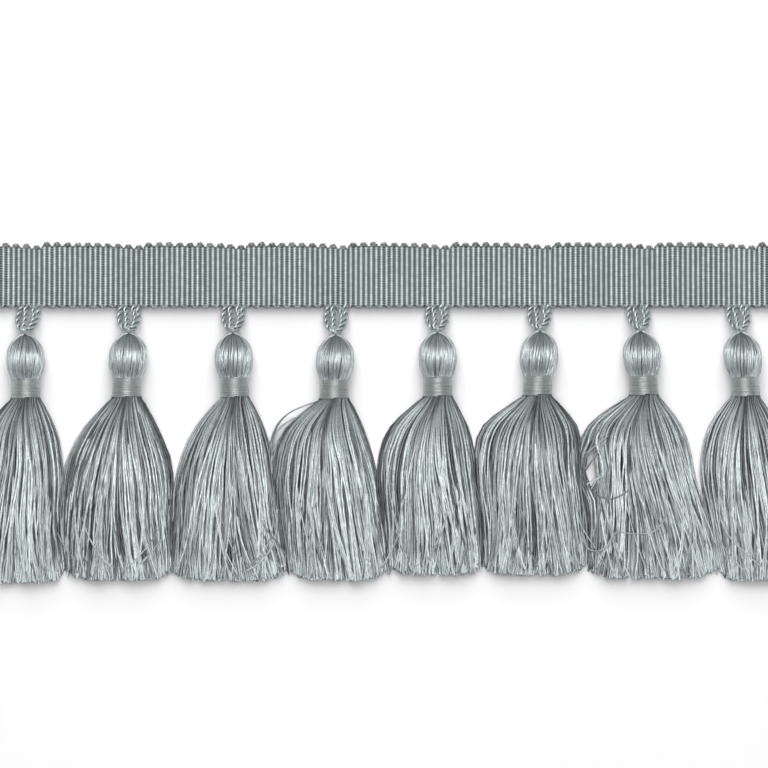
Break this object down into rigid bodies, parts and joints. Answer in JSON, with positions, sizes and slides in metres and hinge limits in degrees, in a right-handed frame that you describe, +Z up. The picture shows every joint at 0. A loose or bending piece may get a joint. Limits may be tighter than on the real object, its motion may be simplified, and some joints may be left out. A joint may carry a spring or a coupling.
{
  "type": "tassel fringe trim",
  "caption": "Decorative trim: a narrow ribbed heading tape with a row of yarn tassels hung from twisted cord loops, each with a round head, a wound neck binding and a spread skirt.",
  "frame": {"origin": "middle of the heading's flat back, on the surface that the trim lies on", "axes": "+X along the heading, +Y from the tassels to the heading's free edge, +Z up, out of the trim's face"},
  "size_m": [0.216, 0.0898, 0.0086],
  "materials": {
    "ribbed_heading": "rep-weave rayon tape, ribbed across, soft sheen",
    "twisted_cord": "two-ply rayon cord, silky",
    "silky_yarn": "untwisted rayon yarn, silky, bright along the strand",
    "binding_thread": "flat rayon winding thread, satin"
  },
  "bodies": {
    "root": {"heading": "ribbed_heading", "outer_loop_1": "twisted_cord", "inner_loop_1": "twisted_cord", "tie_1": "binding_thread", "tassel_1": "silky_yarn", "binding_1": "binding_thread", "outer_loop_2": "twisted_cord", "inner_loop_2": "twisted_cord", "tie_2": "binding_thread", "tassel_2": "silky_yarn", "binding_2": "binding_thread", "outer_loop_3": "twisted_cord", "inner_loop_3": "twisted_cord", "tie_3": "binding_thread", "tassel_3": "silky_yarn", "binding_3": "binding_thread", "outer_loop_4": "twisted_cord", "inner_loop_4": "twisted_cord", "tie_4": "binding_thread", "tassel_4": "silky_yarn", "binding_4": "binding_thread", "outer_loop_5": "twisted_cord", "inner_loop_5": "twisted_cord", "tie_5": "binding_thread", "tassel_5": "silky_yarn", "binding_5": "binding_thread", "outer_loop_6": "twisted_cord", "inner_loop_6": "twisted_cord", "tie_6": "binding_thread", "tassel_6": "silky_yarn", "binding_6": "binding_thread", "outer_loop_7": "twisted_cord", "inner_loop_7": "twisted_cord", "tie_7": "binding_thread", "tassel_7": "silky_yarn", "binding_7": "binding_thread", "outer_loop_8": "twisted_cord", "inner_loop_8": "twisted_cord", "tie_8": "binding_thread", "tassel_8": "silky_yarn", "binding_8": "binding_thread"}
  },
  "joints": []
}
